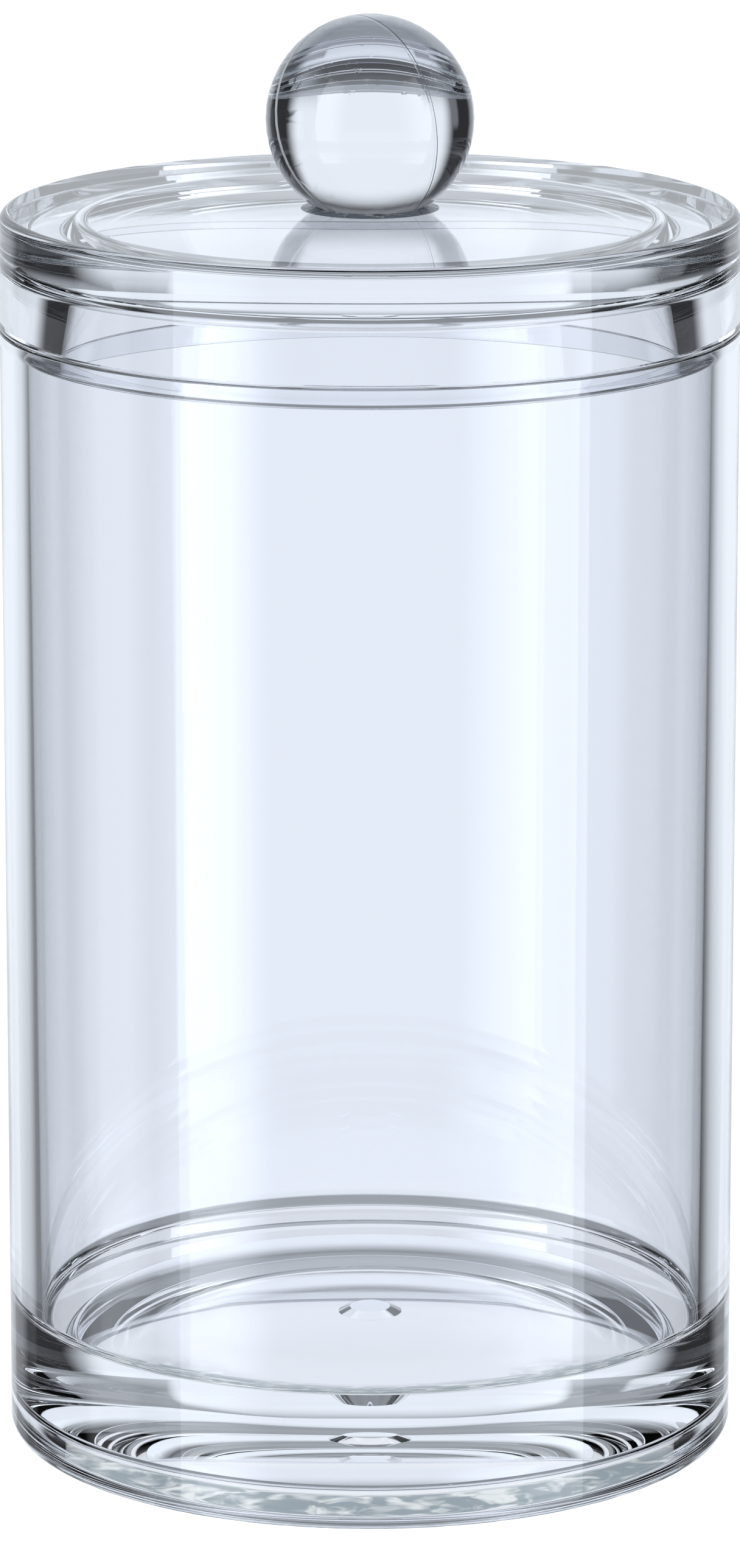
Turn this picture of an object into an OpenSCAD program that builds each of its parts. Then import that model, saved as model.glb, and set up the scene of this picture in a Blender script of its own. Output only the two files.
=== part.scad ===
// Round clear acrylic storage jar with a thick base, a lift-off lid and a solid ball knob.
// All sizes are in mm. The jar stands on z = 0 and its axis is the z axis.

/* [Jar] */
// Outer diameter of the jar's body
jar_od = 75; // [60:0.5:130]
// Height of the jar from the table to its rim
jar_height = 116.3; // [60:0.1:240]
// Wall thickness at the rim
rim_wall = 2.8; // [2.2:0.1:4]
// Wall thickness at the inside floor, thicker than the rim by the mould's draft
floor_wall = 3.2; // [2.6:0.1:5]
// Height of the inside floor above the table
floor_height = 13.5; // [12:0.1:24]
// Radius where the inside floor meets the wall
floor_fillet = 1.5; // [0.5:0.1:2.5]
// How far the bead below the rim stands out from the body
bead_proud = 0.2; // [0.1:0.05:0.6]
// Height of the bead, without its taper
bead_height = 1; // [0.6:0.1:2.5]
// Height of the taper that runs the bead out into the body
bead_taper = 0.6; // [0.3:0.1:2]
// Radius on the two edges of the rim
rim_edge = 0.2; // [0.1:0.05:0.5]

/* [Base] */
// Height of the domed recess in the underside, at its middle
recess_height = 7.5; // [5:0.1:9]
// How much the recess's domed ceiling rises from the foot ring to the middle
dome_rise = 4.1; // [1:0.1:5]
// Share of the ceiling's radius at which the dome starts to bend down more
dome_bend = 0.5; // [0.2:0.05:0.8]
// Slope of the dome there, as a share of its slope at the foot ring
dome_share = 0.2; // [0.1:0.05:0.6]
// Width of the foot ring where it meets the recess's ceiling
foot_width = 6.5; // [5:0.1:12]
// Draft of the foot ring's inner wall, in degrees
foot_draft = 3; // [0:0.5:8]
// Radius where the recess's ceiling meets the foot ring
recess_fillet = 1.2; // [0.5:0.1:2]
// Radius on the outer edge of the foot
foot_outer_edge = 1.5; // [0.3:0.1:2.5]
// Radius on the inner edge of the foot
foot_inner_edge = 0.8; // [0.3:0.1:1.5]
// Mouth diameter of the gate pocket in the middle of the underside
gate_mouth = 6.6; // [5:0.1:12]
// Diameter of the flat at the top of the gate pocket
gate_flat = 4.2; // [2:0.1:4.8]
// Depth of the gate pocket
gate_depth = 1.9; // [0.5:0.1:3]

/* [Lid] */
// Height of the lid above the jar's rim
lid_height = 11.7; // [10.5:0.1:24]
// How far the lid's lower edge stands out from the jar's body
lid_overhang = 0.22; // [0:0.02:1.5]
// Draft of the lid's side, in degrees
lid_draft = 1; // [0:0.5:4]
// Radius on the lid's upper edge
lid_edge = 1.2; // [0.5:0.1:2.5]
// Radius on the lid's lower edge
lid_lower_edge = 0.35; // [0.1:0.05:0.8]
// Thickness of the lid's disc
disc_thickness = 4.95; // [3:0.05:6]
// Width of the plug ring at its lower end
plug_width = 3.4; // [2:0.1:6]
// How far the plug ring reaches into the jar
plug_depth = 2.4; // [1.5:0.1:8]
// Gap all round between the plug ring and the jar's bore
plug_clearance = 0.15; // [0.1:0.05:0.4]
// Radius on the two lower edges of the plug ring
plug_edge = 0.3; // [0.1:0.05:0.6]
// Draft of the plug ring's inner wall, in degrees
plug_draft = 4; // [0:0.5:6]
// Radius where the plug ring meets the disc
disc_fillet = 3.5; // [0.5:0.1:4]
// Diameter of the gate mark under the disc
lid_gate_width = 3.8; // [2:0.1:8]
// Depth of the gate mark under the disc
lid_gate_depth = 0.3; // [0.1:0.1:0.8]

/* [Knob] */
// Diameter of the ball
ball_diameter = 21.1; // [15:0.1:36]
// How much of the ball is ground away to seat it on the lid
ball_flat_cut = 1.45; // [0.5:0.05:4]

/* [Hidden] */
$fn = 96;

jar_r = jar_od / 2;
rim_bore_r = jar_r - rim_wall;
floor_bore_r = jar_r - floor_wall;
bead_r = jar_r + bead_proud;
bead_low = jar_height - bead_height;

recess_top_r = jar_r - foot_width;
recess_low_r = recess_top_r + recess_height * tan(foot_draft);
gate_top = recess_height + gate_depth;

// The recess's ceiling is a flat crown that runs into a rounder shoulder.
bend_r = dome_bend * recess_top_r;
dome_steep = 2 * dome_rise / (dome_share * bend_r + (1 + dome_share) * (recess_top_r - bend_r));
crown_r = bend_r / (dome_share * dome_steep);
crown_mid = [0, recess_height - crown_r];
crown_end = [bend_r, crown_mid[1] + sqrt(crown_r * crown_r - bend_r * bend_r)];
shoulder_r = (recess_top_r - bend_r) / (dome_steep - dome_share * dome_steep);
shoulder_mid = crown_end + (crown_mid - crown_end) * shoulder_r / crown_r;
gate_low = crown_mid[1] + sqrt(crown_r * crown_r - gate_mouth * gate_mouth / 4);
// The fillet's arc touches the foot ring's inner wall and the shoulder.
wall_up = [-sin(foot_draft), cos(foot_draft)];
wall_low = [recess_low_r, 0];
fillet_start = wall_low + recess_fillet * [-cos(foot_draft), -sin(foot_draft)] - shoulder_mid;
fillet_rise = sqrt(pow(fillet_start * wall_up, 2) - fillet_start * fillet_start
    + pow(shoulder_r - recess_fillet, 2)) - fillet_start * wall_up;
fillet_mid = shoulder_mid + fillet_start + fillet_rise * wall_up;
fillet_wall = wall_low + fillet_rise * wall_up;

lid_low_r = jar_r + lid_overhang;
lid_top_r = lid_low_r - lid_height * tan(lid_draft);
lid_top = jar_height + lid_height;
disc_low = lid_top - disc_thickness;
plug_low = jar_height - plug_depth;
// The bore narrows from the rim down to the floor, so the plug is set to the bore at its lower end.
bore_slope = (rim_bore_r - floor_bore_r) / (jar_height - floor_height);
plug_r = rim_bore_r - plug_depth * bore_slope - plug_clearance;
plug_low_in_r = plug_r - plug_width;
plug_top_in_r = plug_low_in_r - (disc_low - plug_low) * tan(plug_draft);

ball_r = ball_diameter / 2;
ball_z = lid_top + ball_r - ball_flat_cut;

// Unit vector from p towards q.
function toward(p, q) = (q - p) / norm(q - p);

// Half the angle at corner c of the outline between its neighbours p and q.
function half_angle(p, c, q) = acos(toward(c, p) * toward(c, q)) / 2;

// The point where the fillet's arc touches the shoulder.
fillet_dome = shoulder_mid + toward(shoulder_mid, fillet_mid) * shoulder_r;
fillet_turn = acos(toward(fillet_mid, fillet_wall) * toward(fillet_mid, fillet_dome));
// Where the ring's inner wall would meet the dome's tangent at that point.
recess_out = fillet_wall + wall_up * recess_fillet * tan(fillet_turn / 2);

// Distance from corner c to where an arc of radius r meets either edge.
function tangent_length(p, c, q, r) = r / tan(half_angle(p, c, q));

// Centre of the arc of radius r that rounds corner c.
function arc_centre(p, c, q, r) =
    c + toward([0, 0], toward(c, p) + toward(c, q)) * r / sin(half_angle(p, c, q));

// The sliver between a sharp corner c and the arc of radius r that rounds it.
// It is cut from an outer corner and added to an inner one.
module corner(p, c, q, r) {
    t = tangent_length(p, c, q, r);
    m = arc_centre(p, c, q, r);
    difference() {
        polygon([c, c + toward(c, p) * t, m, c + toward(c, q) * t]);
        translate(m) circle(r = r);
    }
}

module jar_outline() {
    foot_out = [jar_r, 0];
    foot_in = [recess_low_r, 0];
    rim_out = [bead_r, jar_height];
    rim_in = [rim_bore_r, jar_height];
    floor_out = [floor_bore_r, floor_height];
    floor_mid = [0, floor_height];
    bead_out = [bead_r, bead_low];
    body_top = [jar_r, bead_low - bead_taper];
    union() {
        difference() {
            polygon([
                floor_mid, floor_out, rim_in, rim_out, bead_out, body_top, foot_out, foot_in,
                recess_out, [0, recess_out[1]]
            ]);
            intersection() {
                translate(crown_mid) circle(r = crown_r);
                translate([0, recess_out[1]]) square([bend_r, recess_height]);
            }
            intersection() {
                translate(shoulder_mid) circle(r = shoulder_r);
                translate([bend_r, recess_out[1]]) square([recess_top_r - bend_r, recess_height]);
            }
            polygon([
                [0, recess_out[1]], [gate_mouth / 2, recess_out[1]], [gate_mouth / 2, gate_low],
                [gate_flat / 2, gate_top], [0, gate_top]
            ]);
            corner(rim_in, rim_out, bead_out, rim_edge);
            corner(floor_out, rim_in, rim_out, rim_edge);
            corner(body_top, foot_out, foot_in, foot_outer_edge);
            corner(foot_out, foot_in, recess_out, foot_inner_edge);
        }
        corner(floor_mid, floor_out, rim_in, floor_fillet);
        corner(foot_in, recess_out, fillet_dome, recess_fillet);
    }
}

module jar() {
    color("LightSteelBlue") rotate_extrude() jar_outline();
}

module lid_outline() {
    top_out = [lid_top_r, lid_top];
    side_low = [lid_low_r, jar_height];
    seat_in = [plug_r, jar_height];
    plug_out = [plug_r, plug_low];
    plug_in = [plug_low_in_r, plug_low];
    disc_out = [plug_top_in_r, disc_low];
    gate_r = lid_gate_width / 2;
    union() {
        difference() {
            polygon([
                [0, lid_top], top_out, side_low, seat_in, plug_out, plug_in, disc_out,
                [gate_r + lid_gate_depth, disc_low], [gate_r, disc_low + lid_gate_depth],
                [0, disc_low + lid_gate_depth]
            ]);
            corner([0, lid_top], top_out, side_low, lid_edge);
            corner(top_out, side_low, seat_in, lid_lower_edge);
            corner(seat_in, plug_out, plug_in, plug_edge);
            corner(plug_out, plug_in, disc_out, plug_edge);
        }
        corner(plug_in, disc_out, [0, disc_low], disc_fillet);
    }
}

module lid() {
    color("PowderBlue") rotate_extrude() lid_outline();
}

module knob() {
    color("Lavender") difference() {
        translate([0, 0, ball_z]) sphere(r = ball_r);
        translate([0, 0, lid_top - ball_diameter]) cylinder(r = ball_diameter, h = ball_diameter);
    }
}

jar();
lid();
knob();
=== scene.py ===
"""Looks of a clear acrylic storage jar with a lift-off lid and a solid ball knob.

The CAD model is loaded as a fixed frame. The jar, the lid and the knob are turned again here as fine
meshes of the same sections, because clear plastic shows its true form only by its bent light.
Lengths are in metres, and the jar stands on z = 0 with its axis on the z axis.
"""

import logging
import math
from dataclasses import dataclass, field
from enum import Enum
from typing import Any, Sequence

import bpy
from mathutils import Matrix, Vector


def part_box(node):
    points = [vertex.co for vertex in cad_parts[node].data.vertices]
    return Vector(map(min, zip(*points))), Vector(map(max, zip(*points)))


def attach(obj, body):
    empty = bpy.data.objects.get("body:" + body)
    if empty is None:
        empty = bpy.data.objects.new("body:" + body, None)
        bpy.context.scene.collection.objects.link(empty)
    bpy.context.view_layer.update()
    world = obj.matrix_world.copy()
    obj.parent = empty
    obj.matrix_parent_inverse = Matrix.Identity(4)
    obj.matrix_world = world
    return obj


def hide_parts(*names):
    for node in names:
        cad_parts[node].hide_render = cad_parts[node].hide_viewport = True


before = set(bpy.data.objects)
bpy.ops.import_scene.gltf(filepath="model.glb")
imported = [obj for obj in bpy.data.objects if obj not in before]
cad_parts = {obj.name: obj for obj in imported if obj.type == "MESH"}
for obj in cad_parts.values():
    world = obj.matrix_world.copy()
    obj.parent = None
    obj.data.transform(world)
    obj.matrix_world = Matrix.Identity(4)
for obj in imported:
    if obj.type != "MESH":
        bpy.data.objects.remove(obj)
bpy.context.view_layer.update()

LOG = logging.getLogger("storage_jar")
MM = 0.001
TURNS = 288
ARC_STEP = math.radians(7.5)
DOME_STEPS = 36
SHARP_EDGE = math.radians(24)
WELD = 0.0005 * MM
SENSOR_WIDTH = 36.0
NEAR_LIMIT = 0.01
WHITE = "FFFFFF"


class Body(Enum):
    """The bodies that the pieces ride on."""

    JAR = "jar_body"
    LID = "lid_body"


@dataclass(frozen=True)
class Corner:
    """One corner of a turned section.

    Args:
        r: Distance from the jar's axis.
        z: Height above the table.
        rounding: Radius of the arc that rounds the corner, or 0 for a sharp one.
    """

    r: float
    z: float
    rounding: float = 0.0

    def at(self) -> Vector:
        """Returns the corner as a point of the xz plane."""
        return Vector((self.r, 0.0, self.z))


def arc(centre: Vector, start: Vector, end: Vector) -> list[Vector]:
    """Makes the points of the shorter arc from start to end in the xz plane.

    Args:
        centre: Centre of the arc.
        start: First point.
        end: Last point.

    Returns:
        The points, both ends among them.
    """
    radius = (start - centre).length
    first = math.atan2(start.z - centre.z, start.x - centre.x)
    sweep = math.atan2(end.z - centre.z, end.x - centre.x) - first
    sweep = (sweep + math.pi) % math.tau - math.pi
    count = max(4, math.ceil(abs(sweep) / ARC_STEP))
    angles = [first + sweep * i / count for i in range(count + 1)]
    return [centre + radius * Vector((math.cos(a), 0.0, math.sin(a))) for a in angles]


def rounded(corners: Sequence[Corner]) -> list[Vector]:
    """Rounds the corners of an open section with arcs tangent to their edges.

    Args:
        corners: The section from where it leaves the axis to where it comes back to it.

    Returns:
        The section's points in order.
    """
    points = [corners[0].at()]
    for before, corner, after in zip(corners, corners[1:], corners[2:]):
        if not corner.rounding:
            points.append(corner.at())
            continue
        back = (before.at() - corner.at()).normalized()
        ahead = (after.at() - corner.at()).normalized()
        half = back.angle(ahead) / 2
        reach = corner.rounding / math.tan(half)
        centre = corner.at() + (back + ahead).normalized() * corner.rounding / math.sin(half)
        points += arc(centre, corner.at() + back * reach, corner.at() + ahead * reach)
    return points + [corners[-1].at()]


def turned(name: str, points: Sequence[Vector]) -> bpy.types.Object:
    """Turns a section round the z axis, as on a lathe.

    A plane is shrunk to one point, the section is drawn from it by extruding, and the line is spun.

    Args:
        name: The new piece's name.
        points: The section from axis to axis, or a closed ring if its ends meet.

    Returns:
        The finished solid, with its place in its mesh.
    """
    bpy.ops.object.select_all(action="DESELECT")
    bpy.ops.mesh.primitive_plane_add(size=MM)
    piece = bpy.context.object
    piece.name = name
    bpy.ops.object.mode_set(mode="EDIT")
    bpy.ops.mesh.merge(type="CENTER")
    bpy.ops.transform.translate(value=points[0])
    for start, end in zip(points, points[1:]):
        bpy.ops.mesh.extrude_region_move(TRANSFORM_OT_translate={"value": end - start})
    bpy.ops.mesh.select_all(action="SELECT")
    bpy.ops.mesh.spin(steps=TURNS, angle=math.tau, center=(0, 0, 0), axis=(0, 0, 1))
    bpy.ops.mesh.select_all(action="SELECT")
    bpy.ops.mesh.remove_doubles(threshold=WELD)
    bpy.ops.mesh.normals_make_consistent(inside=False)
    bpy.ops.object.mode_set(mode="OBJECT")
    bpy.ops.object.shade_smooth_by_angle(angle=SHARP_EDGE)
    weigh = piece.modifiers.new("even_normals", "WEIGHTED_NORMAL")
    weigh.keep_sharp = True
    bpy.ops.object.modifier_apply(modifier=weigh.name)
    return piece


def linear(code: str) -> tuple[float, float, float, float]:
    """Turns an sRGB hex colour such as "F2F5FA" into linear light.

    Args:
        code: Six hex digits.

    Returns:
        Red, green, blue and an alpha of 1.
    """
    parts = [int(code[i : i + 2], 16) / 255 for i in (0, 2, 4)]
    light = [p / 12.92 if p <= 0.04045 else ((p + 0.055) / 1.055) ** 2.4 for p in parts]
    return (*light, 1.0)


def node(tree: bpy.types.NodeTree, kind: str, settings: dict[str, Any] | None = None, **inputs: Any) -> Any:
    """Adds a node with its settings, and sets or links its inputs.

    Args:
        tree: The node tree that gets the node.
        kind: The node's type, without "ShaderNode".
        settings: The node's own properties.
        inputs: Values or output sockets by input name, with _ for a space, or i and a number.

    Returns:
        The new node.
    """
    made = tree.nodes.new("ShaderNode" + kind)
    for key, value in (settings or {}).items():
        setattr(made, key, value)
    for key, value in inputs.items():
        place = int(key[1:]) if key[0] == "i" and key[1:].isdigit() else key.replace("_", " ")
        if isinstance(value, bpy.types.NodeSocket):
            tree.links.new(value, made.inputs[place])
        else:
            made.inputs[place].default_value = value
    return made


def new_material(name: str) -> tuple[bpy.types.Material, bpy.types.NodeTree, Any]:
    """Makes an empty node material.

    Args:
        name: The material's name.

    Returns:
        The material, its node tree and its output node.
    """
    material = bpy.data.materials.new(name)
    material.use_nodes = True
    material.node_tree.nodes.clear()
    return material, material.node_tree, node(material.node_tree, "OutputMaterial")


@dataclass(frozen=True)
class ClearAcrylic:
    """Injection moulded clear acrylic (PMMA), polished by the mould.

    It is clear as water in a thin wall and faintly blue-grey in a thick one, its reflections are
    sharp, and they waver a little because the moulding's skin shrank unevenly.

    Args:
        name: The material's name.
        tint: Colour that each surface passes.
        depth_tint: Colour of white light after a long way through the plastic.
        density: How soon the depth tint is reached, for each metre.
        ior: How strongly it bends light.
        roughness: How far its reflections are blurred.
        ripple: Height of the moulding's ripple.
        ripple_size: Width of one ripple.
        scratch: Depth of the hairline scratches, or 0 for none.
        scratch_size: Distance between the scratches.
        scratch_way: Angles that the scratches are turned by.
        scratch_stretch: How the pattern is stretched into lines.
        scratch_range: Shares of the pattern where a scratch starts and where it is full.
    """

    name: str
    tint: str = "FBFCFF"
    depth_tint: str = "F1F5F9"
    density: float = 5.0
    ior: float = 1.49
    roughness: float = 0.006
    ripple: float = 0.012 * MM
    ripple_size: float = 14 * MM
    scratch: float = 0.0
    scratch_size: float = 0.9 * MM
    scratch_way: tuple[float, float, float] = (0.3, 0.5, 0.9)
    scratch_stretch: tuple[float, float, float] = (1.0, 0.06, 1.0)
    scratch_range: tuple[float, float] = (0.62, 0.67)

    def height(self, tree: bpy.types.NodeTree) -> Any:
        """Draws the height of the surface's unevenness.

        Args:
            tree: The material's node tree.

        Returns:
            The socket that carries the height in metres.
        """
        place = node(tree, "TexCoord").outputs["Object"]
        wave = node(tree, "TexNoise", Vector=place, Scale=1 / self.ripple_size, Detail=0.0)
        low = node(tree, "Math", {"operation": "MULTIPLY"}, i0=wave.outputs["Fac"], i1=self.ripple)
        if not self.scratch:
            return low.outputs[0]
        drawn = node(tree, "Mapping", Vector=place, Rotation=self.scratch_way, Scale=self.scratch_stretch)
        lines = drawn.outputs["Vector"]
        hairs = node(tree, "TexNoise", Vector=lines, Scale=1 / self.scratch_size, Detail=1.0)
        fine = node(
            tree,
            "MapRange",
            {"interpolation_type": "SMOOTHSTEP"},
            Value=hairs.outputs["Fac"],
            From_Min=self.scratch_range[0],
            From_Max=self.scratch_range[1],
            To_Max=-self.scratch,
        )
        total = node(tree, "Math", {"operation": "ADD"}, i0=low.outputs[0], i1=fine.outputs["Result"])
        return total.outputs[0]

    def make(self) -> bpy.types.Material:
        """Builds the material.

        Returns:
            The material.
        """
        material, tree, out = new_material(self.name)
        bump = node(tree, "Bump", Height=self.height(tree), Distance=1.0, Strength=1.0)
        shader = node(
            tree,
            "BsdfPrincipled",
            Base_Color=linear(self.tint),
            Roughness=self.roughness,
            IOR=self.ior,
            Transmission_Weight=1.0,
            Normal=bump.outputs["Normal"],
        )
        depth = node(tree, "VolumeAbsorption", Color=linear(self.depth_tint), Density=self.density)
        tree.links.new(shader.outputs[0], out.inputs["Surface"])
        tree.links.new(depth.outputs[0], out.inputs["Volume"])
        return material


@dataclass(frozen=True)
class BallAcrylic(ClearAcrylic):
    """The knob's acrylic, with the hairlines that the parts of its mould left round the ball.

    The main hairline is slightly frosted where it was trimmed, so it is light in front of dark. The
    second one is only a fine groove, which is dark in front of light.

    Args:
        centre: Height of the ball's centre.
        seam_normal: Direction square to the main hairline's plane.
        groove_normal: Direction square to the second hairline's plane.
        seam_width: Width of the main hairline.
        groove_width: Width of the groove.
        seam_height: Height of the main hairline.
        groove_depth: Depth of the groove.
        seam_frost: Share of the light that the main hairline scatters.
        frost: Colour of the scattered light.
        frost_roughness: How matt the main hairline is.
    """

    centre: float = 0.0
    seam_normal: tuple[float, float, float] = (0.449, -0.860, 0.242)
    groove_normal: tuple[float, float, float] = (0.780, 0.616, 0.109)
    seam_width: float = 0.60 * MM
    groove_width: float = 0.44 * MM
    seam_height: float = 0.03 * MM
    groove_depth: float = 0.16 * MM
    seam_frost: float = 0.92
    frost: str = "EEF1F4"
    frost_roughness: float = 0.5

    def hairline(self, tree: bpy.types.NodeTree, normal: tuple[float, float, float], width: float) -> Any:
        """Draws one hairline round the ball.

        Args:
            tree: The material's node tree.
            normal: Direction square to the hairline's plane.
            width: Width of the hairline.

        Returns:
            The socket that is 1 in the middle of the hairline and 0 away from it.
        """
        place = node(tree, "TexCoord").outputs["Object"]
        along = node(tree, "VectorMath", {"operation": "DOT_PRODUCT"}, i0=place, i1=normal)
        away = node(
            tree,
            "Math",
            {"operation": "SUBTRACT"},
            i0=along.outputs["Value"],
            i1=normal[2] * self.centre,
        )
        off = node(tree, "Math", {"operation": "ABSOLUTE"}, i0=away.outputs[0])
        ridge = node(
            tree,
            "MapRange",
            {"interpolation_type": "SMOOTHSTEP"},
            Value=off.outputs[0],
            From_Min=width / 4,
            From_Max=width / 2,
            To_Min=1.0,
            To_Max=0.0,
        )
        return ridge.outputs["Result"]

    def height(self, tree: bpy.types.NodeTree) -> Any:
        """Adds the mould's hairlines to the surface's unevenness.

        Args:
            tree: The material's node tree.

        Returns:
            The socket that carries the height in metres.
        """
        total = super().height(tree)
        for normal, width, rise in (
            (self.seam_normal, self.seam_width, self.seam_height),
            (self.groove_normal, self.groove_width, -self.groove_depth),
        ):
            line = self.hairline(tree, normal, width)
            ridge = node(tree, "Math", {"operation": "MULTIPLY"}, i0=line, i1=rise)
            total = node(tree, "Math", {"operation": "ADD"}, i0=total, i1=ridge.outputs[0]).outputs[0]
        return total

    def make(self) -> bpy.types.Material:
        """Builds the material, with the main hairline's frost over the clear acrylic.

        Returns:
            The material.
        """
        material = super().make()
        tree = material.node_tree
        out = next(n for n in tree.nodes if n.type == "OUTPUT_MATERIAL")
        clear = out.inputs["Surface"].links[0].from_socket
        frost = node(
            tree,
            "BsdfPrincipled",
            Base_Color=linear(self.frost),
            Roughness=self.frost_roughness,
            IOR=self.ior,
        )
        line = self.hairline(tree, self.seam_normal, self.seam_width)
        share = node(tree, "Math", {"operation": "MULTIPLY"}, i0=line, i1=self.seam_frost)
        both = node(tree, "MixShader", i0=share.outputs[0], i1=clear, i2=frost.outputs[0])
        tree.links.new(both.outputs[0], out.inputs["Surface"])
        return material


@dataclass(frozen=True)
class SolventCement:
    """Dried solvent cement between the knob and the lid.

    It is clear where it wetted both faces and grey where it trapped air and crazed the plastic, in
    fine hairs that lie across each other.

    Args:
        name: The material's name.
        haze: Colour of the crazed cement.
        hair_size: Width of the hairs.
        hair_turn: Angle that the hairs are turned by on the lid.
        hair_stretch: How much the pattern is stretched into hairs.
        hair_tangle: How much the hairs waver.
        hair_height: Height of the hairs.
        craze_range: Shares of the pattern where the crazing starts and where it is full.
        ior: How strongly the clear cement bends light.
        roughness: How matt the cement is.
    """

    name: str
    haze: str = "8C95A3"
    hair_size: float = 0.5 * MM
    hair_turn: float = 0.25
    hair_stretch: float = 0.22
    hair_tangle: float = 1.6
    hair_height: float = 0.16 * MM
    craze_range: tuple[float, float] = (0.46, 0.54)
    ior: float = 1.45
    roughness: float = 0.22

    def make(self) -> bpy.types.Material:
        """Builds the material.

        Returns:
            The material.
        """
        material, tree, out = new_material(self.name)
        place = node(tree, "TexCoord").outputs["Object"]
        spin = (0.0, 0.0, self.hair_turn)
        drawn = node(tree, "Mapping", Vector=place, Rotation=spin, Scale=(self.hair_stretch, 1.0, 1.0))
        hairs = node(
            tree,
            "TexNoise",
            Vector=drawn.outputs["Vector"],
            Scale=1 / self.hair_size,
            Detail=3.0,
            Distortion=self.hair_tangle,
        )
        grain_and_caustic_noise = hairs.outputs["Fac"]
        start, full = self.craze_range
        crazed = node(tree, "MapRange", Value=grain_and_caustic_noise, From_Min=start, From_Max=full)
        height = node(tree, "Math", {"operation": "MULTIPLY"}, i0=grain_and_caustic_noise, i1=self.hair_height)
        bump = node(tree, "Bump", Height=height.outputs[0], Distance=1.0, Strength=1.0)
        clear = node(
            tree,
            "BsdfPrincipled",
            Base_Color=linear(WHITE),
            Roughness=self.roughness,
            IOR=self.ior,
            Transmission_Weight=1.0,
            Normal=bump.outputs["Normal"],
        )
        hazy = node(
            tree,
            "BsdfPrincipled",
            Base_Color=linear(self.haze),
            Roughness=self.roughness,
            IOR=self.ior,
            Normal=bump.outputs["Normal"],
        )
        share = crazed.outputs["Result"]
        both = node(tree, "MixShader", i0=share, i1=clear.outputs[0], i2=hazy.outputs[0])
        tree.links.new(both.outputs[0], out.inputs["Surface"])
        return material


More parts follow.
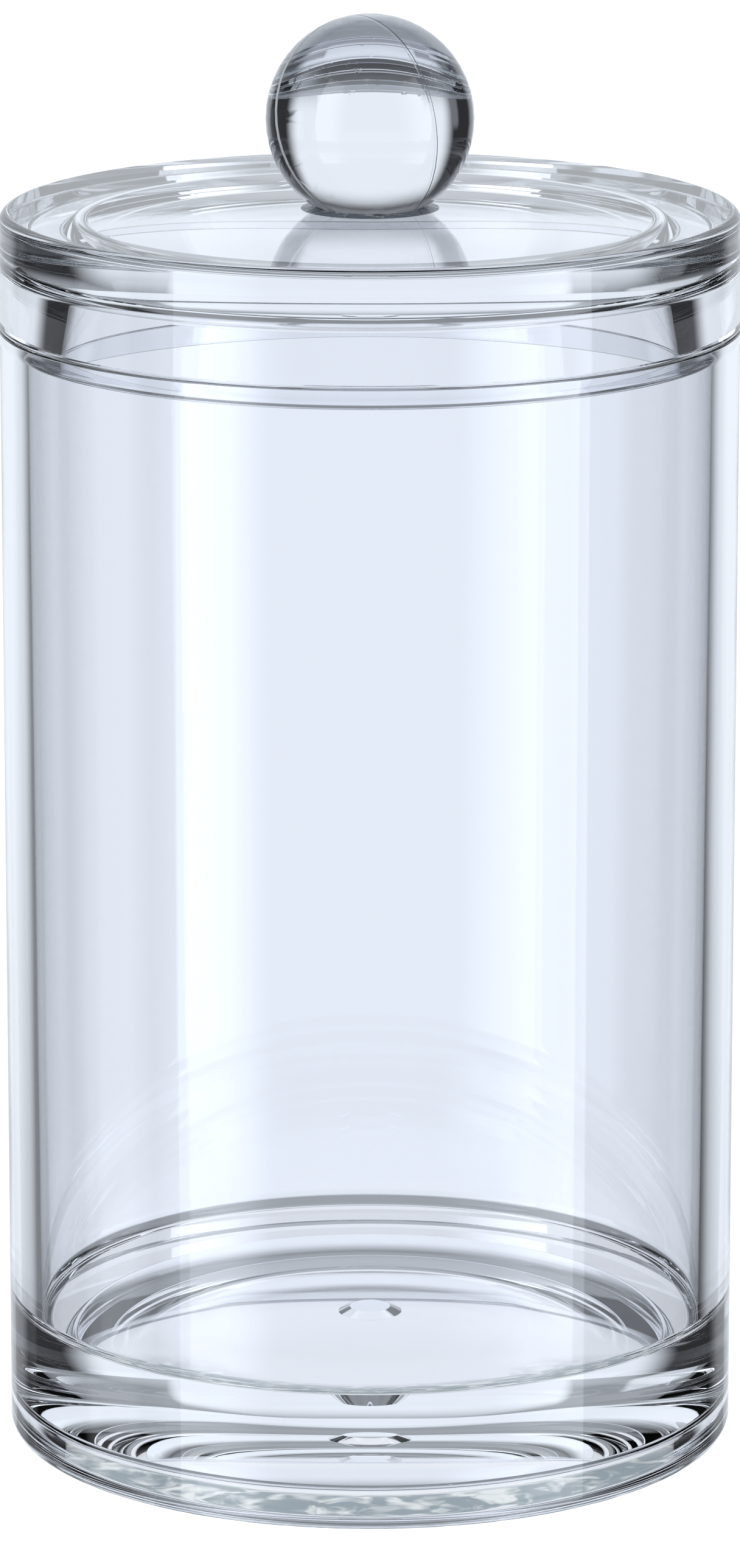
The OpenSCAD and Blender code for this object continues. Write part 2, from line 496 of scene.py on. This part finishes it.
@dataclass
class Jar:
    """The jar: a drafted wall, a beaded rim and a thick base that stands on a recessed foot ring.

    Args:
        rim_wall: Wall thickness at the rim.
        floor_wall: Wall thickness at the inside floor.
        floor_height: Height of the inside floor above the table.
        floor_fillet: Radius where the inside floor meets the wall.
        bead_proud: How far the bead below the rim stands out.
        bead_height: Height of the bead.
        bead_taper: Height of the taper below the bead.
        rim_edge: Radius on the rim's two edges.
        recess_height: Height of the recess at its middle.
        dome_rise: How much the recess's ceiling rises from the foot ring to the middle.
        dome_bend: Share of the ceiling's radius where it starts to bend down more.
        dome_share: Slope there, as a share of the slope at the foot ring.
        foot_width: Width of the foot ring.
        foot_draft: Draft of the foot ring's inner wall.
        recess_fillet: Radius where the ceiling meets the foot ring.
        foot_outer_edge: Radius on the foot's outer edge.
        foot_inner_edge: Radius on the foot's inner edge.
        gate_mouth: Diameter of the gate pocket's mouth.
        gate_flat: Diameter of the flat at its top.
        gate_depth: Depth of the gate pocket.
    """

    rim_wall: float = 2.8 * MM
    floor_wall: float = 3.2 * MM
    floor_height: float = 13.5 * MM
    floor_fillet: float = 1.5 * MM
    bead_proud: float = 0.2 * MM
    bead_height: float = 1.0 * MM
    bead_taper: float = 0.6 * MM
    rim_edge: float = 0.2 * MM
    recess_height: float = 7.5 * MM
    dome_rise: float = 4.1 * MM
    dome_bend: float = 0.5
    dome_share: float = 0.2
    foot_width: float = 6.5 * MM
    foot_draft: float = math.radians(3)
    recess_fillet: float = 1.2 * MM
    foot_outer_edge: float = 1.5 * MM
    foot_inner_edge: float = 0.8 * MM
    gate_mouth: float = 6.6 * MM
    gate_flat: float = 4.2 * MM
    gate_depth: float = 1.9 * MM
    top: float = field(init=False)
    radius: float = field(init=False)

    def __post_init__(self) -> None:
        """Takes the jar's height and radius from the frame."""
        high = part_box("jar")[1]
        self.top = high[2]
        self.radius = high[0] - self.bead_proud

    @property
    def bore(self) -> float:
        """Radius of the bore at the rim."""
        return self.radius - self.rim_wall

    @property
    def bore_slope(self) -> float:
        """How much the bore widens for each metre up."""
        return (self.floor_wall - self.rim_wall) / (self.top - self.floor_height)

    def ceiling(self, foot_in: float, dome_edge: float) -> list[Corner]:
        """Draws the recess's domed ceiling, from the foot ring's inner wall to the gate pocket.

        Args:
            foot_in: Radius of the ring's inner wall at the table.
            dome_edge: Radius that the dome is drawn to.

        Returns:
            The corner between wall and dome, and then the dome's points.
        """
        bend = self.dome_bend * dome_edge
        reach = self.dome_share * bend + (1 + self.dome_share) * (dome_edge - bend)
        steep = 2 * self.dome_rise / reach
        crown_r = bend / (self.dome_share * steep)
        crown = Vector((0.0, 0.0, self.recess_height - crown_r))
        join = Vector((bend, 0.0, crown.z + math.sqrt(crown_r**2 - bend**2)))
        round_r = (dome_edge - bend) / (steep - self.dome_share * steep)
        middle = join + (crown - join) * round_r / crown_r
        up = Vector((-math.sin(self.foot_draft), 0.0, math.cos(self.foot_draft)))
        inward = Vector((-up.z, 0.0, up.x))
        wall = Vector((foot_in, 0.0, 0.0))
        start = wall + self.recess_fillet * inward - middle
        along = start.dot(up)
        rise = math.sqrt(along**2 - start.dot(start) + (round_r - self.recess_fillet) ** 2) - along
        centre = middle + start + rise * up
        touch = middle + (centre - middle).normalized() * round_r
        turn = (wall + rise * up - centre).angle(touch - centre)
        edge = wall + (rise + self.recess_fillet * math.tan(turn / 2)) * up
        corners = [Corner(edge.x, edge.z, self.recess_fillet)]
        for i in range(DOME_STEPS + 1):
            r = touch.x + (self.gate_mouth / 2 - touch.x) * i / DOME_STEPS
            if r > bend:
                corners.append(Corner(r, middle.z + math.sqrt(round_r**2 - (r - middle.x) ** 2)))
            else:
                corners.append(Corner(r, crown.z + math.sqrt(crown_r**2 - r**2)))
        return corners

    def section(self) -> list[Corner]:
        """Returns the section from the middle of the inside floor over the rim to the gate pocket."""
        bead_low = self.top - self.bead_height
        recess_r = self.radius - self.foot_width
        foot_in = recess_r + self.recess_height * math.tan(self.foot_draft)
        gate_top = self.recess_height + self.gate_depth
        return [
            Corner(0.0, self.floor_height),
            Corner(self.radius - self.floor_wall, self.floor_height, self.floor_fillet),
            Corner(self.bore, self.top, self.rim_edge),
            Corner(self.radius + self.bead_proud, self.top, self.rim_edge),
            Corner(self.radius + self.bead_proud, bead_low),
            Corner(self.radius, bead_low - self.bead_taper),
            Corner(self.radius, 0.0, self.foot_outer_edge),
            Corner(foot_in, 0.0, self.foot_inner_edge),
            *self.ceiling(foot_in, recess_r),
            Corner(self.gate_flat / 2, gate_top),
            Corner(0.0, gate_top),
        ]

    def build(self, finish: ClearAcrylic) -> bpy.types.Object:
        """Turns and dresses the jar.

        Args:
            finish: The jar's finish.

        Returns:
            The piece that stands for the CAD jar.
        """
        piece = turned("jar_shell", rounded(self.section()))
        piece.data.materials.append(finish.make())
        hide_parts("jar")
        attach(piece, Body.JAR.value)
        return piece


@dataclass
class Lid:
    """The lid: a drafted disc with a heavy ring, whose plug drops into the jar's bore.

    Args:
        jar: The jar that the lid rests on.
        overhang: How far the lid's lower edge stands out from the jar's body.
        draft: Draft of the lid's side.
        edge: Radius on the upper edge.
        lower_edge: Radius on the lower edge.
        disc: Thickness of the disc in its middle.
        plug_width: Width of the plug ring at its lower end.
        plug_depth: How far the plug ring reaches into the jar.
        plug_clearance: Gap between the plug ring and the bore.
        plug_edge: Radius on the plug ring's lower edges.
        plug_draft: Draft of the plug ring's inner wall.
        disc_fillet: Radius where the plug ring meets the disc.
        fillet_room: Width that the fillet needs on the disc, as a share of its radius.
        disc_sag: How much the disc's underside falls towards the ring.
        sag_power: How late the underside falls.
        gate_width: Diameter of the gate mark.
        gate_depth: Depth of the gate mark.
        seat_gap: Gap between the lid and the rim, too thin to see.
    """

    jar: Jar
    overhang: float = 0.22 * MM
    draft: float = math.radians(1)
    edge: float = 1.2 * MM
    lower_edge: float = 0.35 * MM
    disc: float = 4.6 * MM
    plug_width: float = 3.4 * MM
    plug_depth: float = 2.4 * MM
    plug_clearance: float = 0.15 * MM
    plug_edge: float = 0.3 * MM
    plug_draft: float = math.radians(9)
    disc_fillet: float = 1.8 * MM
    fillet_room: float = 1.3
    disc_sag: float = 1.3 * MM
    sag_power: int = 3
    gate_width: float = 3.8 * MM
    gate_depth: float = 0.3 * MM
    seat_gap: float = 0.03 * MM
    top: float = field(init=False)

    def __post_init__(self) -> None:
        """Takes the lid's top from the frame."""
        self.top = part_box("lid")[1][2]

    def section(self) -> list[Corner]:
        """Returns the section from the middle of the top over the plug to the gate mark below."""
        seat = self.jar.top + self.seat_gap
        low_r = self.jar.radius + self.overhang
        top_r = low_r - (self.top - self.jar.top) * math.tan(self.draft)
        plug_low = self.jar.top - self.plug_depth
        plug_r = self.jar.bore - self.plug_depth * self.jar.bore_slope - self.plug_clearance
        disc_low = self.top - self.disc
        plug_in = plug_r - self.plug_width
        edge_z = disc_low - self.disc_sag
        disc_r = plug_in - (edge_z - plug_low) * math.tan(self.plug_draft)
        gate_r = self.gate_width / 2
        first = disc_r - self.fillet_room * self.disc_fillet
        last = gate_r + self.gate_depth
        radii = [first + (last - first) * i / DOME_STEPS for i in range(DOME_STEPS + 1)]
        under = [Corner(r, disc_low - self.disc_sag * (r / disc_r) ** self.sag_power) for r in radii]
        return [
            Corner(0.0, self.top),
            Corner(top_r, self.top, self.edge),
            Corner(low_r, seat, self.lower_edge),
            Corner(plug_r, seat),
            Corner(plug_r, plug_low, self.plug_edge),
            Corner(plug_in, plug_low, self.plug_edge),
            Corner(disc_r, edge_z, self.disc_fillet),
            *under,
            Corner(gate_r, disc_low + self.gate_depth),
            Corner(0.0, disc_low + self.gate_depth),
        ]

    def build(self, finish: ClearAcrylic) -> bpy.types.Object:
        """Turns and dresses the lid.

        Args:
            finish: The lid's finish.

        Returns:
            The piece that stands for the CAD lid.
        """
        piece = turned("lid_disc", rounded(self.section()))
        piece.data.materials.append(finish.make())
        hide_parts("lid")
        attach(piece, Body.LID.value)
        return piece


@dataclass
class Knob:
    """The knob: a solid ball with a ground flat, and the dried cement that holds it on the lid.

    Args:
        lid: The lid that carries the knob.
        film: Thickness of the cement under the ball.
        film_gap: Gap on each side of the cement, too thin to see.
        cement_width: Diameter of the cement's patch.
        cement_rise: How high the cement climbs up the ball.
    """

    lid: Lid
    film: float = 0.06 * MM
    film_gap: float = 0.01 * MM
    cement_width: float = 14.0 * MM
    cement_rise: float = 0.3 * MM
    radius: float = field(init=False)
    centre: float = field(init=False)

    def __post_init__(self) -> None:
        """Takes the ball's size and height from the frame."""
        low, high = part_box("knob")
        self.radius = (high[0] - low[0]) / 2
        self.centre = high[2] - self.radius

    def ball_radius_at(self, z: float) -> float:
        """Works out how wide the ball is at a height.

        Args:
            z: Height above the table.

        Returns:
            The ball's radius there.
        """
        return math.sqrt(self.radius**2 - (z - self.centre) ** 2)

    def build_ball(self, finish: ClearAcrylic) -> bpy.types.Object:
        """Turns and dresses the ball.

        Args:
            finish: The ball's finish.

        Returns:
            The piece that stands for the CAD knob.
        """
        seat = self.lid.top + self.film
        middle = Vector((0.0, 0.0, self.centre))
        rim = Vector((self.ball_radius_at(seat), 0.0, seat))
        crown = Vector((0.0, 0.0, self.centre + self.radius))
        points = [Vector((0.0, 0.0, seat)), *arc(middle, rim, crown)]
        points[-1].x = 0.0
        piece = turned("ball_knob", points)
        piece.data.materials.append(finish.make())
        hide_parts("knob")
        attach(piece, Body.LID.value)
        return piece

    def build_cement(self, finish: SolventCement) -> bpy.types.Object:
        """Turns the film of cement under the ball and the fillet that it was squeezed into.

        Args:
            finish: The cement's finish.

        Returns:
            The cement's piece.
        """
        low = self.lid.top + self.film_gap
        high = self.lid.top + self.film - self.film_gap
        brim = self.lid.top + self.cement_rise
        inner = self.ball_radius_at(self.lid.top + self.film) - self.film_gap
        points = [
            Vector((0.0, 0.0, high)),
            Vector((inner, 0.0, high)),
            Vector((self.ball_radius_at(brim) + 2 * self.film_gap, 0.0, brim)),
            Vector((self.cement_width / 2 - self.cement_rise, 0.0, high)),
            Vector((self.cement_width / 2, 0.0, low)),
            Vector((0.0, 0.0, low)),
        ]
        piece = turned("cement_film", points)
        piece.data.materials.append(finish.make())
        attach(piece, Body.LID.value)
        return piece


@dataclass(frozen=True)
class Card:
    """One lit card round the jar, as far as the plastic shows it.

    Args:
        turn: Angle of the card's middle from the way the camera looks, to the right, in degrees.
        reach: Half the angle that the card spans, in degrees.
        low: Height angle of its lower edge, in degrees.
        high: Height angle of its upper edge, in degrees.
        level: Its brightness, where 1 is white.
        inner_fade: Degrees over which it fades towards the camera's side.
        outer_fade: Degrees over which it fades towards the other side.
        end_fade: Degrees over which it fades at its lower and upper edges.
    """

    turn: float
    reach: float
    low: float
    high: float
    level: float
    inner_fade: float = 6.0
    outer_fade: float = 6.0
    end_fade: float = 6.0


@dataclass
class Studio:
    """A pale floor, the cards and softboxes round the jar, and the camera.

    Args:
        distance: How far the camera stands from the jar's axis.
        height: Height of the camera above the table.
        tilt: How far the camera looks down.
        lens: Focal length in millimetres.
        floor_reach: Length of the floor's sides.
        floor_drop: How far the floor lies below the jar's foot.
        floor_colour: Colour of the floor.
        floor_glow: Light that the floor gives by itself.
        spot_radius: Radius of the round of table under the jar.
        spot_drop: How far that round lies below the jar's foot.
        spot_colour: Its colour.
        spot_painted_shadow: Colour of the painted shadow marks in its front part.
        spot_painted_caustic: Colour of the painted caustic glints there.
        spot_ring: Shares of its radius where the painted shadow and caustic marks start and where they are
            full.
        spot_front: Places along y where the painted shadow and caustic marks start and where they are full.
        caustic_mark_size: Width of one painted caustic mark.
        caustic_mark_range: Shares of the pattern where a painted caustic glint starts and where it is full.
        paper: Colour of the cards' light.
        room: Brightness of the room between the cards.
        bounces: How often light is followed from surface to surface.
        cards: The cards and softboxes.
    """

    distance: float = 787.5 * MM
    height: float = 256.5 * MM
    tilt: float = math.radians(13.45)
    lens: float = 180.9
    floor_reach: float = 8.0
    floor_drop: float = 0.05 * MM
    floor_colour: str = "F4F5F8"
    floor_glow: float = 0.84
    spot_radius: float = 37.4 * MM
    spot_drop: float = 0.04 * MM
    spot_colour: str = "F2F5FA"
    spot_painted_shadow: str = "9CA8AF"
    spot_painted_caustic: str = "E9EEEE"
    spot_ring: tuple[float, float] = (0.42, 0.66)
    spot_front: tuple[float, float] = (-2 * MM, -12 * MM)
    caustic_mark_size: float = 3.4 * MM
    caustic_mark_range: tuple[float, float] = (0.46, 0.66)
    paper: str = "F2F8FF"
    room: float = 0.03
    bounces: int = 18
    cards: tuple[Card, ...] = (
        Card(0, 25, -26, -9, 1.0, inner_fade=4.0, outer_fade=4.0, end_fade=9.0),
        Card(0, 43, -9, 22, 1.0, inner_fade=12.0, outer_fade=12.0, end_fade=24.0),
        Card(0, 100, -90, -24, 0.40),
        Card(0, 180, 46, 90, 0.27, inner_fade=0.1, outer_fade=0.1, end_fade=12.0),
        Card(-38, 10, -18, -5, 0.20, inner_fade=4.0, outer_fade=4.0),
        Card(180, 72, -20, -9, 0.6),
        Card(-90, 14, -20, 6, 0.9),
        Card(-45, 15, -29, -23, 0.85, inner_fade=4.0, outer_fade=4.0, end_fade=2.0),
        Card(-137, 20, -30, 40, 2.3, inner_fade=26.0, outer_fade=1.0),
        Card(131, 23, -30, 40, 2.3, inner_fade=42.0, outer_fade=1.0),
    )

    def lit(self, tree: bpy.types.NodeTree, turn: Any, rise: Any, card: Card) -> Any:
        """Draws the light of one card.

        Args:
            tree: The world's node tree.
            turn: The socket that carries the view's angle from the card's middle, from -pi to pi.
            rise: The socket that carries the view's height angle.
            card: The card.

        Returns:
            The socket that carries its brightness.
        """
        left, right = card.outer_fade, card.inner_fade
        beside_or_ahead = -90 <= card.turn <= 90
        if (card.turn > 0) == beside_or_ahead:
            left, right = right, left
        edges = (
            (turn, -card.reach, -card.reach + left),
            (turn, card.reach, card.reach - right),
            (rise, card.low - card.end_fade, card.low),
            (rise, card.high + card.end_fade, card.high),
        )
        light = card.level
        for angle, dark, bright in edges:
            edge = node(
                tree,
                "MapRange",
                {"interpolation_type": "SMOOTHSTEP"},
                Value=angle,
                From_Min=math.radians(dark),
                From_Max=math.radians(bright),
            )
            part = node(tree, "Math", {"operation": "MULTIPLY"}, i0=edge.outputs[0], i1=light)
            light = part.outputs[0]
        return light

    def surroundings(self) -> None:
        """Makes the world: white to the camera, and the cards in a dim room to everything else."""
        world = bpy.data.worlds.new("room")
        bpy.context.scene.world = world
        world.use_nodes = True
        tree = world.node_tree
        tree.nodes.clear()
        way = node(tree, "TexCoord").outputs["Generated"]
        height = node(tree, "SeparateXYZ", Vector=way).outputs["Z"]
        rise = node(tree, "Math", {"operation": "ARCSINE"}, i0=height).outputs[0]
        total = self.room
        for card in self.cards:
            spin = (0.0, 0.0, math.radians(card.turn))
            aside = node(tree, "VectorRotate", {"rotation_type": "EULER_XYZ"}, Vector=way, Rotation=spin)
            flat = node(tree, "SeparateXYZ", Vector=aside.outputs[0])
            turn = node(tree, "Math", {"operation": "ARCTAN2"}, i0=flat.outputs["X"], i1=flat.outputs["Y"])
            light = self.lit(tree, turn.outputs[0], rise, card)
            total = node(tree, "Math", {"operation": "MAXIMUM"}, i0=light, i1=total).outputs[0]
        seen = node(tree, "LightPath").outputs["Is Camera Ray"]
        colour = node(tree, "MixRGB", Fac=seen, Color1=linear(self.paper), Color2=linear(WHITE))
        level = node(tree, "Math", {"operation": "MAXIMUM"}, i0=seen, i1=total)
        glow = node(tree, "Background", Color=colour.outputs[0], Strength=level.outputs[0])
        out = node(tree, "OutputWorld")
        tree.links.new(glow.outputs[0], out.inputs["Surface"])

    def floor(self) -> None:
        """Lays the floor, which is pale and keeps the jar's shadow, but doesn't show in the plastic."""
        bpy.ops.object.select_all(action="DESELECT")
        bpy.ops.mesh.primitive_plane_add(size=self.floor_reach)
        made = bpy.context.object
        made.name = "floor"
        made.data.transform(Matrix.Translation((0, 0, -self.floor_drop)))
        made.visible_glossy = False
        made.visible_transmission = False
        material, tree, out = new_material("floor_paper")
        matt = node(tree, "BsdfDiffuse", Color=linear(self.floor_colour))
        glow = node(tree, "Emission", Color=linear(WHITE), Strength=self.floor_glow)
        both = node(tree, "AddShader", i0=matt.outputs[0], i1=glow.outputs[0])
        tree.links.new(both.outputs[0], out.inputs["Surface"])
        made.data.materials.append(material)

    def table_spot(self) -> None:
        """Lays the round of table under the jar, which shows through the base only. It glows by itself, and
        its front part carries a painted caustic band: painted shadow marks with painted caustic glints.
        """
        bpy.ops.object.select_all(action="DESELECT")
        bpy.ops.mesh.primitive_circle_add(vertices=128, radius=self.spot_radius, fill_type="NGON")
        made = bpy.context.object
        made.name = "floor_under_jar"
        made.data.transform(Matrix.Translation((0, 0, -self.spot_drop)))
        made.visible_camera = False
        material, tree, out = new_material("floor_under_jar_painted_caustics")
        place = node(tree, "TexCoord").outputs["Object"]
        parts = node(tree, "SeparateXYZ", Vector=place)
        flat = node(tree, "CombineXYZ", X=parts.outputs["X"], Y=parts.outputs["Y"])
        away = node(tree, "VectorMath", {"operation": "LENGTH"}, i0=flat.outputs[0]).outputs["Value"]
        # Where the painted shadow and caustic glints lie: a ring of the spot, only in its front part.
        ring = node(
            tree,
            "MapRange",
            {"interpolation_type": "SMOOTHSTEP"},
            Value=away,
            From_Min=self.spot_radius * self.spot_ring[0],
            From_Max=self.spot_radius * self.spot_ring[1],
        )
        front = node(
            tree,
            "MapRange",
            {"interpolation_type": "SMOOTHSTEP"},
            Value=parts.outputs["Y"],
            From_Min=self.spot_front[0],
            From_Max=self.spot_front[1],
        )
        where = node(tree, "Math", {"operation": "MULTIPLY"}, i0=ring.outputs[0], i1=front.outputs[0])
        # Painted caustics: noise draws darker marks of painted shadow and lighter marks of painted caustic
        # glints.
        grain_and_caustic_noise = node(tree, "TexNoise", Vector=place, Scale=1 / self.caustic_mark_size, Detail=2.0, Distortion=1.0)
        start, full = self.caustic_mark_range
        glint = node(tree, "MapRange", Value=grain_and_caustic_noise.outputs["Fac"], From_Min=start, From_Max=full)
        shade = node(
            tree,
            "MixRGB",
            Fac=glint.outputs["Result"],
            Color1=linear(self.spot_painted_shadow),
            Color2=linear(self.spot_painted_caustic),
        )
        colour = node(
            tree,
            "MixRGB",
            Fac=where.outputs[0],
            Color1=linear(self.spot_colour),
            Color2=shade.outputs[0],
        )
        # The spot glows by itself, so its painted shadow and caustic glints show in the plastic at a fixed
        # brightness.
        glow = node(tree, "Emission", Color=colour.outputs[0], Strength=1.0)
        tree.links.new(glow.outputs[0], out.inputs["Surface"])
        made.data.materials.append(material)

    def camera(self) -> None:
        """Sets the camera at the photograph's height, distance and tilt."""
        data = bpy.data.cameras.new("camera")
        data.lens = self.lens
        data.sensor_width = SENSOR_WIDTH
        data.clip_start = NEAR_LIMIT
        view = bpy.data.objects.new("camera", data)
        bpy.context.scene.collection.objects.link(view)
        view.location = (0.0, -self.distance, self.height)
        view.rotation_euler = (math.pi / 2 - self.tilt, 0.0, 0.0)
        bpy.context.scene.camera = view

    def build(self) -> None:
        """Builds the floor, the surroundings and the camera, and sets how far light is followed."""
        self.floor()
        self.table_spot()
        self.surroundings()
        scene = bpy.context.scene
        scene.view_settings.view_transform = "Standard"
        scene.cycles.max_bounces = self.bounces
        scene.cycles.transmission_bounces = self.bounces
        scene.cycles.glossy_bounces = self.bounces // 2
        self.camera()


def main() -> None:
    """Builds the jar, the lid and the knob in order, and then the studio round them."""
    logging.basicConfig(level=logging.INFO, format="%(message)s")
    jar = Jar()
    lid = Lid(jar)
    knob = Knob(lid)
    made = [
        jar.build(ClearAcrylic("moulded_acrylic_jar")),
        lid.build(ClearAcrylic("moulded_acrylic_lid")),
        knob.build_ball(
            BallAcrylic("moulded_acrylic_ball", ripple=0.004 * MM, scratch=0.002 * MM, centre=knob.centre)
        ),
        knob.build_cement(SolventCement("dried_solvent_cement")),
    ]
    for piece in made:
        LOG.info("%s: %d faces", piece.name, len(piece.data.polygons))
    Studio().build()


if __name__ == "__main__":
    main()
